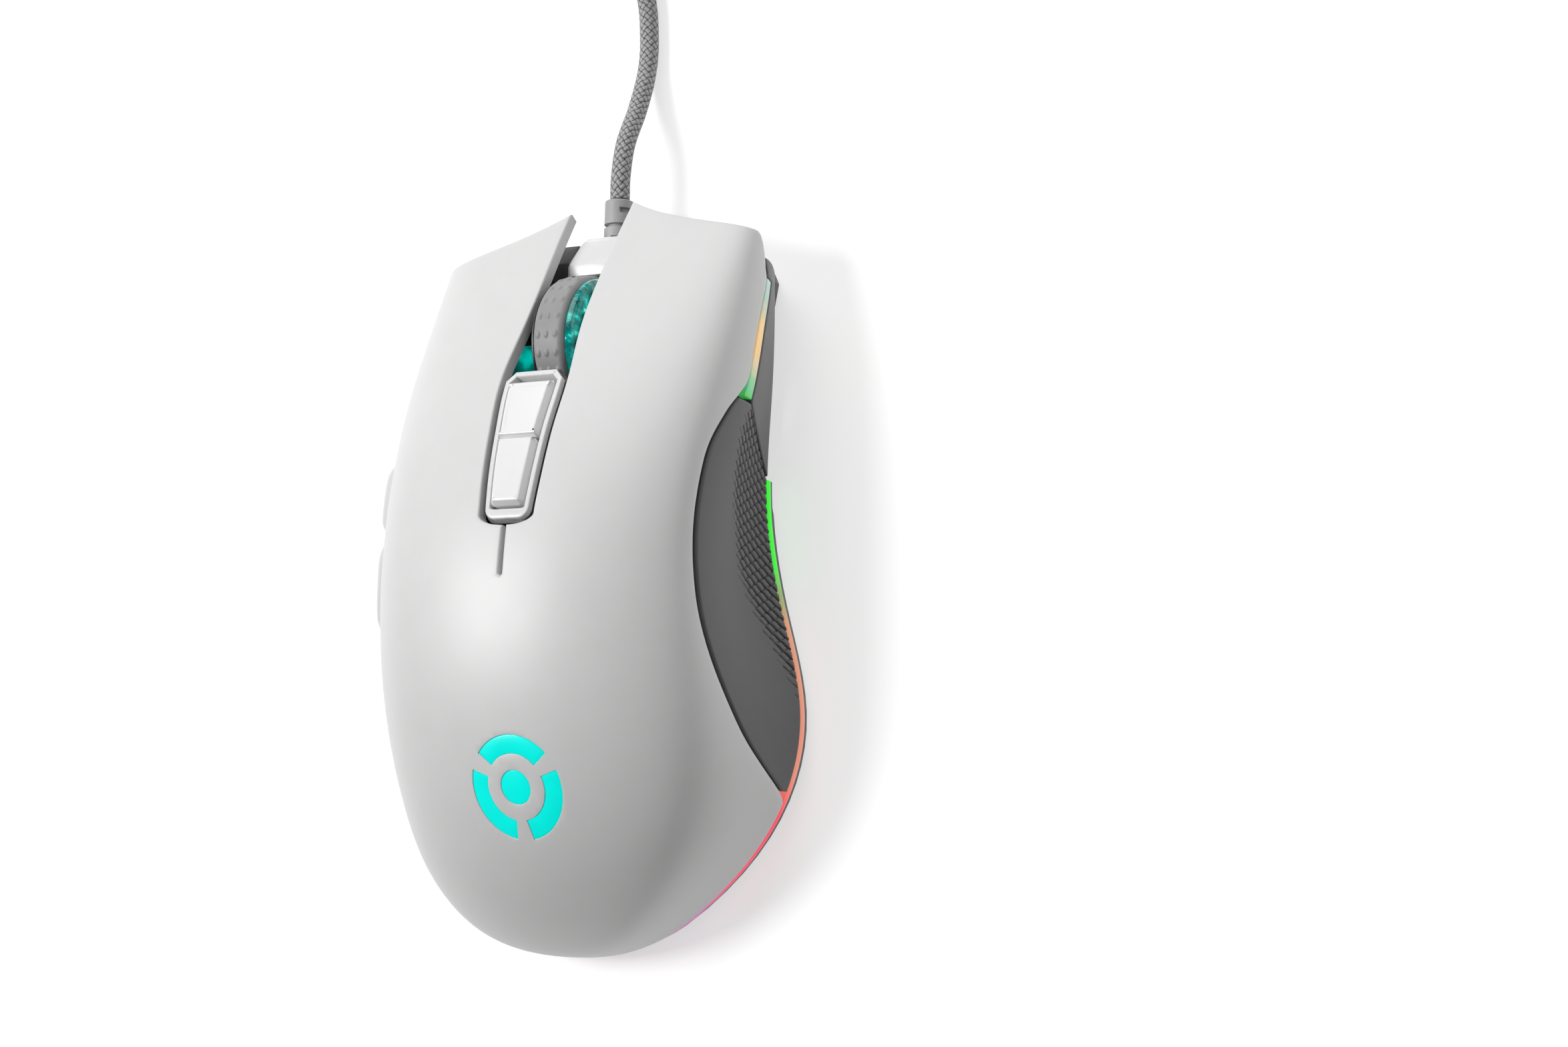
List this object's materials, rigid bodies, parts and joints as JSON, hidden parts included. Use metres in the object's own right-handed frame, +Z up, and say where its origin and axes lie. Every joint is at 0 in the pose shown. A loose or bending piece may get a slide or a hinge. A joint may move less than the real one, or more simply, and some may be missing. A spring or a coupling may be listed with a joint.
{
  "type": "computer mouse",
  "caption": "Wired right-handed ergonomic gaming mouse: white shell, grey side grips, lit scroll wheel and light guides, thumb keys, braided cable wound to a USB plug.",
  "frame": {"origin": "on the desk, under the middle of the mouse's own plan box (cable left out)", "axes": "+Z up from the desk, +Y towards the nose where the cable leaves, +X to the user's right"},
  "size_m": [0.0871, 0.2356, 0.0407],
  "materials": {
    "shell_white": "satin soft-touch ABS",
    "side_white": "satin gloss ABS",
    "gloss_white": "polished ABS",
    "grip_grey": "matte, moulded diamond texture",
    "panel_grey": "smooth matte",
    "light_guide": "frosted light guide, lit in several colours",
    "emblem_cyan": "lit window",
    "wheel_rubber": "moulded rubber with small dots",
    "wheel_clear": "clear polycarbonate, lit teal",
    "black_plastic": "plain moulded",
    "circuit_board": "solder mask",
    "clear_lens": "clear",
    "steel": "plated steel",
    "glide_foot": "slick low-friction polymer",
    "relief_rubber": "moulded rubber",
    "cable_braid": "braided sleeve, grey with dark flecks",
    "tie_fabric": "hook-and-loop strap",
    "plug_plastic": "moulded overmould"
  },
  "bodies": {
    "casing": {"palm_shell": "shell_white", "dpi_bezel": "gloss_white", "nose_bridge": "gloss_white", "right_grip": "grip_grey", "left_grip": "grip_grey", "right_front_panel": "panel_grey", "left_front_panel": "panel_grey", "base_tray": "panel_grey", "right_light_strip": "light_guide", "left_light_strip": "light_guide", "rear_light_guide": "light_guide", "emblem_lens": "emblem_cyan", "scroll_encoder": "black_plastic", "wheel_click_switch": "black_plastic", "left_main_switch": "black_plastic", "right_main_switch": "black_plastic", "dpi_up_switch": "black_plastic", "dpi_down_switch": "black_plastic", "side_switch_forward": "black_plastic", "side_switch_back": "black_plastic", "main_board": "circuit_board", "dpi_board": "circuit_board", "side_board": "circuit_board", "dpi_board_post": "panel_grey", "sensor": "black_plastic", "sensor_lens": "clear_lens", "emblem_led": "clear_lens", "cable_connector": "gloss_white", "base_screw_1": "steel", "base_screw_2": "steel", "base_screw_3": "steel", "base_screw_4": "steel", "front_foot": "glide_foot", "rear_foot": "glide_foot", "left_foot": "glide_foot", "right_foot": "glide_foot", "strain_relief": "relief_rubber", "cable": "cable_braid", "cable_tail": "cable_braid", "cable_coil": "cable_braid", "cable_tie": "tie_fabric", "usb_plug_grip": "plug_plastic", "usb_plug_shell": "steel"},
    "left_click": {"left_main_button": "shell_white"},
    "right_click": {"right_main_button": "shell_white"},
    "forward_key": {"side_button_forward": "side_white"},
    "back_key": {"side_button_back": "side_white"},
    "dpi_up_key": {"dpi_up_button": "gloss_white"},
    "dpi_down_key": {"dpi_down_button": "gloss_white"},
    "cradle": {"wheel_carrier": "black_plastic"},
    "scroll_wheel": {"wheel_tyre": "wheel_rubber", "wheel_hub": "wheel_clear", "wheel_axle": "black_plastic"}
  },
  "joints": [
    {"name": "left_click_press", "type": "hinge", "parent": "casing", "child": "left_click", "pos_m": [0, -0.0046, 0.0395], "axis": [-1, 0, 0], "range_deg": [0, 0.6], "stiffness_Nm_per_rad": 0.6, "springref_deg": -1.15},
    {"name": "right_click_press", "type": "hinge", "parent": "casing", "child": "right_click", "pos_m": [0, -0.0046, 0.0395], "axis": [-1, 0, 0], "range_deg": [0, 0.6], "stiffness_Nm_per_rad": 0.6, "springref_deg": -1.15},
    {"name": "forward_key_press", "type": "slide", "parent": "casing", "child": "forward_key", "axis": [1, 0, 0], "range_m": [0, 0.0006], "stiffness_N_per_m": 150, "springref_m": -0.002},
    {"name": "back_key_press", "type": "slide", "parent": "casing", "child": "back_key", "axis": [1, 0, 0], "range_m": [0, 0.0006], "stiffness_N_per_m": 150, "springref_m": -0.002},
    {"name": "dpi_up_press", "type": "slide", "parent": "casing", "child": "dpi_up_key", "axis": [0, 0, -1], "range_m": [0, 0.0006], "stiffness_N_per_m": 150, "springref_m": -0.002},
    {"name": "dpi_down_press", "type": "slide", "parent": "casing", "child": "dpi_down_key", "axis": [0, 0, -1], "range_m": [0, 0.0006], "stiffness_N_per_m": 150, "springref_m": -0.002},
    {"name": "wheel_click", "type": "hinge", "parent": "casing", "child": "cradle", "pos_m": [0.00975, 0.0372, 0.0174], "axis": [0, -1, 0], "range_deg": [0, 2], "stiffness_Nm_per_rad": 0.3, "springref_deg": -3.44},
    {"name": "wheel_spin", "type": "hinge", "parent": "cradle", "child": "scroll_wheel", "pos_m": [0, 0.0372, 0.0174], "axis": [1, 0, 0], "continuous": true}
  ]
}
